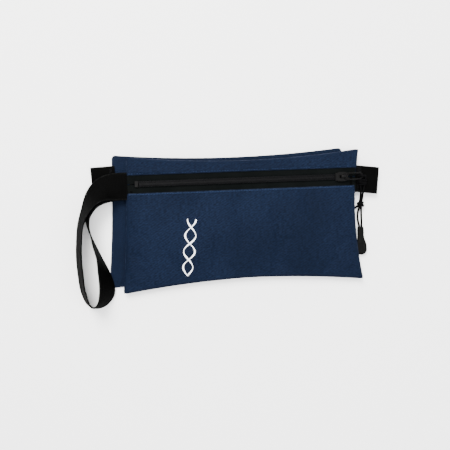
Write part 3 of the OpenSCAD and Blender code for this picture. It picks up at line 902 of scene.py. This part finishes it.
# The two rows of chain stitch that hold a coil to its tape
def coilSeam(name, side, fromX, toX):
    lines = []
    low, high = coilHigh.z - 0.22 * mm, coilHigh.z - 0.02 * mm
    for away in (1.75 * mm, 2.75 * mm):
        y = zipY + side * away
        for k in range(int((toX - fromX) / (2 * zipper["pitch"]))):
            x = fromX + k * 2 * zipper["pitch"] + 0.3 * mm
            lines.append([(x, y, low), (x + 0.7 * mm, y, high),
                          (x + 1.5 * mm, y, high), (x + 2.2 * mm, y, low)])
    piece = makeTubes(name, lines, 0.2 * mm, 5, blackThread)
    return piece


def stitchLine(x, y, height, length):
    return [(x, y, height - 0.15 * mm), (x + length * 0.2, y, height + 0.1 * mm),
            (x + length * 0.8, y, height + 0.1 * mm), (x + length, y, height - 0.15 * mm)]


def stitchRow(name, y, fromX, toX, height, material, pitch=3.1 * mm, thread=0.22 * mm):
    lines = []
    for k in range(int((toX - fromX) / pitch)):
        x = fromX + k * pitch
        lines.append(stitchLine(x, y, height(x, y), pitch * 0.78))
    piece = makeTubes(name, lines, thread, 6, material)
    return piece


def headerHeight(x, y):
    inside = smoothStep(0, 8 * mm, min(edgeGap(x, y), y - showHigh))
    return frontFace + 0.7 * mm + rumple(x, y, 11.0, 0.55 * mm) * inside


coilFrom, coilTo = coilLow.x, coilHigh.x
tapeLower = tapeStrip("zipTapeLower", -1, zipper["tapeFrom"], zipper["tapeTo"], 180)
coilLower = coilRow("zipCoilLower", -1, coilFrom, coilTo)
seamLower = coilSeam("zipCoilSeamLower", -1, coilFrom, coilTo)
stitchFrom, stitchTo = zipper["tapeFrom"] + 2 * mm, zipper["tapeTo"] - 2 * mm
stitchLower = stitchRow("zipStitchLower", showLow - 1.6 * mm, stitchFrom, stitchTo,
                        lambda x, y: lowerHeight(x, y) + 0.05 * mm, blueThread)
for piece, node in ((tapeLower, "zip_tape_lower"), (coilLower, "zip_coil_lower"),
                    (seamLower, "zip_coil_lower"), (stitchLower, "zip_stitching_lower")):
    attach(piece, "front")
    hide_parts(node)
split = coilFrom + round((frontMid - coilFrom) / zipper["pitch"]) * zipper["pitch"]
halves = ((-1, "Left", zipper["tapeFrom"], split), (1, "Right", split, zipper["tapeTo"]))
for side, name, fromX, toX in halves:
    tape = tapeStrip("zipTapeUpper" + name, 1, fromX, toX)
    coil = coilRow("zipCoilUpper" + name, 1, max(fromX, coilFrom), min(toX, coilTo))
    seam = coilSeam("zipCoilSeamUpper" + name, 1, max(fromX, coilFrom), min(toX, coilTo))
    stitches = stitchRow("zipStitchUpper" + name, showHigh + 1.6 * mm, max(fromX, stitchFrom),
                         min(toX, stitchTo), headerHeight, blueThread)
    for piece, node in ((tape, "zip_tape_upper"), (coil, "zip_coil_upper"), (seam, "zip_coil_upper"),
                        (stitches, "zip_stitching_upper")):
        blendMouth(piece, side)
        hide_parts(node)
    abs(toX - fromX)
print("zip made")

# Webbing: the wrist strap and the two tabs
strap = {"width": 32 * mm, "thickness": 1.4 * mm, "lift": 0.4 * mm, "steps": 8, "seamHeight": 10.2 * mm,
         "rootGap": 0.9 * mm, "tuck": 2.4 * mm}
strapRoute = [(0, 43, 0.93, 0), (-13.4, 43, 0.82, 8), (-25.6, 40, 0.68, 24), (-37.6, 31, 0.36, 46),
              (-46.6, 16, 0.08, 62), (-52.6, -1, 0, 67), (-54.6, -18, 0, 67), (-55.6, -38, 0, 67),
              (-54.6, -57, 0, 67), (-52.6, -75.3, 0, 68), (-47.6, -89.6, 0, 71), (-39.6, -95.6, 0, 80),
              (-30.6, -91.6, 0.05, 76), (-25.1, -80.1, 0.17, 66), (-25.8, -64.7, 0.19, 72),
              (-28.6, -52, 0.08, 80), (-32.1, -39, 0, 90), (-36.6, -26, 0, 95),
              (-40.6, -13, 0, 101), (-43.6, -1, 0, 105),
              (-43.6, 12, 0.06, 115), (-38.6, 25, 0.3, 132), (-27.6, 36, 0.4, 155), (-14.6, 42, 0.6, 172),
              (0, 43, 0.72, 180)]
strapRootX = leftEdge(zipY) - strap["rootGap"]


def makeStrap():
    stations = smoothLine(strapRoute, strap["steps"])
    first, last = stations[0].copy(), stations[-1].copy()
    first[0] += strap["tuck"] / mm
    last[0] += strap["tuck"] / mm
    stations = np.concatenate([[first], stations, [last]])
    line, across = [], []
    for k, (x, y, share, tilt) in enumerate(stations):
        ahead = stations[min(k + 1, len(stations) - 1)] - stations[max(k - 1, 0)]
        heading = np.array([ahead[0], ahead[1]]) / math.hypot(ahead[0], ahead[1])
        lean = math.radians(tilt)
        line.append((strapRootX + x * mm, frontMidY + y * mm,
                     strap["lift"] + share * strap["seamHeight"] + math.sin(lean) * strap["width"] / 2))
        across.append((-heading[1] * math.cos(lean), heading[0] * math.cos(lean), math.sin(lean)))
    piece = makeBand("wristStrap", line, across, strap["width"], strap["thickness"], blackWebbing)
    return piece, alongLine(np.array(line))[-1]


wristStrap, strapLength = makeStrap()
strapRootX + 1 * mm
strapRootX - 10 * mm
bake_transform(wristStrap)
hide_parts("wrist_strap")
print("strap length", round(float(strapLength), 4))


# A tab: webbing folded in two, its ends in the seam and its fold rounded
def makeTab(name, root, turn, side, length, low, rise):
    line, across = [], []
    gap = 0.62 * mm
    middle = low + gap + 0.55 * mm
    heading = np.array([math.cos(turn) * side, math.sin(turn) * side, 0])
    width = np.array([-math.sin(turn), math.cos(turn), 0])
    outward = [k / 16 * (length - gap) for k in range(17)]
    stations = [(d, -gap) for d in outward]
    stations += [(length - gap + gap * math.sin(a), -gap * math.cos(a))
                 for a in np.linspace(0.4, math.pi - 0.4, 7)]
    stations += [(d, gap) for d in reversed(outward)]
    for d, z in stations:
        sag = rise * (d / length) ** 2
        p = np.array([root[0], root[1], middle + z + sag]) + heading * d
        line.append(p)
        across.append(width)
    piece = makeBand(name, line, across, strap["width"], 1.0 * mm, blackWebbing)
    return piece


tab = {"leftTurn": 3.0, "rightTurn": -7.0, "leftTuck": 1.5 * mm, "rightTuck": 0.8 * mm, "flat": 0.052}
leftLow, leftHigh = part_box("left_tab")
rightLow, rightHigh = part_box("right_tab")
leftRoot = (leftHigh.x + tab["leftTuck"], (leftLow.y + leftHigh.y) / 2)
rightRoot = (rightLow.x - tab["rightTuck"], (rightLow.y + rightHigh.y) / 2)
leftTab = makeTab("leftTab", leftRoot, math.radians(tab["leftTurn"]), -1,
                  leftRoot[0] - leftLow.x, leftLow.z, 0.3 * mm)
rightTab = makeTab("rightTab", rightRoot, math.radians(tab["rightTurn"]), 1,
                   rightHigh.x - rightLow.x - 0.2 * mm, rightLow.z, -0.8 * mm)
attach(leftTab, "back")
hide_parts("left_tab")
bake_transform(rightTab)
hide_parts("right_tab")


# Bartacks: close zigzags of thread across each tab beside its seam
def bartack(name, node, material, rows=28):
    low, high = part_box(node)
    lines = []
    for k in range(rows):
        y = low.y + (high.y - low.y) * (k + 0.5) / rows
        lean = 0.6 * mm if k % 2 else -0.6 * mm
        lines.append([(low.x, y - lean, low.z), (low.x + 0.5 * mm, y - lean * 0.7, high.z + 0.15 * mm),
                      (high.x - 0.5 * mm, y + lean * 0.7, high.z + 0.15 * mm), (high.x, y + lean, low.z)])
    piece = makeTubes(name, lines, 0.24 * mm, 5, material)
    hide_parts(node)
    return piece


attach(bartack("leftTabBartack", "left_tab_bartack", blackThread), "back")
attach(bartack("rightTabBartack", "right_tab_bartack", blackThread), "right_tab")
print("webbing made")

# The printed mark: a plain two-strand guilloche, standing along the panel's height
mark = {"x": -66 * mm, "y": -31 * mm, "length": 66 * mm, "swing": 6.5 * mm, "waves": 3.5, "lean": -7,
        "line": 0.75 * mm, "steps": 150}


def makeMark():
    turn = math.radians(mark["lean"])
    points, faces, cuts = [], [], []
    for strand in (-1, 1):
        base = len(points)
        for k in range(mark["steps"] + 1):
            t = k / mark["steps"]
            phase = math.pi * mark["waves"] * t
            along = (t - 0.5) * mark["length"]
            side = strand * mark["swing"] * math.sin(phase) * (0.75 + 0.25 * math.sin(math.pi * t))
            slope = strand * mark["swing"] * math.cos(phase) * math.pi * mark["waves"] / mark["length"]
            thick = mark["line"] * (0.55 + 0.75 * (0.5 + 0.5 * math.sin(2 * phase + strand)))
            reach = math.hypot(1, slope)
            for edge in (-1, 1):
                a = along - edge * slope / reach * thick
                s = side + edge / reach * thick
                x = frontMid + mark["x"] + s * math.cos(turn) - a * math.sin(turn)
                y = frontMidY + mark["y"] + s * math.sin(turn) + a * math.cos(turn)
                points.append((x, y, lowerHeight(x, y) + 0.12 * mm))
                cuts.append((x, y, 0))
        for k in range(mark["steps"]):
            a = base + 2 * k
            faces.append((a, a + 1, a + 3, a + 2))
    piece = makeMesh("printedMark", points, faces, whiteInk, cuts)
    skin = piece.modifiers.new("ink", "SOLIDIFY")
    skin.thickness = 0.12 * mm
    skin.offset = 1
    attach(piece, "front")
    return piece


makeMark()
print("mark made")


# The frame's own metal and binding, given their finish
def dress(node, material, bevel=0.0):
    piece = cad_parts[node]
    piece.data.materials.clear()
    piece.data.materials.append(material)
    if bevel:
        weld = piece.modifiers.new("weld", "WELD")
        weld.merge_threshold = 0.01 * mm
        edge = piece.modifiers.new("edge", "BEVEL")
        edge.width = bevel
        edge.segments = 3
        edge.limit_method = "ANGLE"
        edge.angle_limit = math.radians(35)


for node, material, bevel in (("slider_body", sliderEnamel, 0.3 * mm),
                              ("slider_crown", sliderEnamel, 0.35 * mm),
                              ("slider_bail", sliderEnamel, 0.45 * mm),
                              ("slider_lock_spring", springSteel, 0.08 * mm),
                              ("zip_top_stops", sliderEnamel, 0.25 * mm),
                              ("zip_bottom_stop", sliderEnamel, 0.3 * mm),
                              ("front_binding", blackWebbing, 0),
                              ("back_binding", blackWebbing, 0)):
    dress(node, material, bevel)
print("frame dressed")


# Stage
def makeStage():
    f = Finish("paleFloor")
    cloud = f.grain(f.place(), 3, 2)
    pale = f.mix(cloud, linear(253, 253, 253), linear(250, 250, 250))
    paper = f.set(colour=pale, roughness=0.9, specular=0.1)
    floor = makeMesh("floor", [(-3, -3, -0.0002), (3, -3, -0.0002), (3, 3, -0.0002), (-3, 3, -0.0002)],
                     [(0, 1, 2, 3)], paper)
    for name, place, size, power, colour in (("keyLight", (-0.4, 0.95, 1.35), 0.8, 78, (1, 0.99, 0.97)),
                                             ("fillLight", (0.9, -0.6, 1.3), 1.4, 24, (0.97, 0.98, 1)),
                                             ("topLight", (0.0, 0.0, 1.9), 1.8, 44, (1, 1, 1))):
        held = bpy.data.lights.new(name, "AREA")
        held.energy, held.size, held.color = power, size, colour
        lamp = bpy.data.objects.new(name, held)
        lamp.location = place
        lamp.rotation_euler = (Vector((0, 0, 0)) - Vector(place)).to_track_quat("-Z", "Y").to_euler()
        bpy.context.scene.collection.objects.link(lamp)
    world = bpy.data.worlds.new("studio")
    world.use_nodes = True
    world.node_tree.nodes["Background"].inputs[0].default_value = (1, 1, 1, 1)
    world.node_tree.nodes["Background"].inputs[1].default_value = 1.35
    bpy.context.scene.world = world


makeStage()
print("stage made")
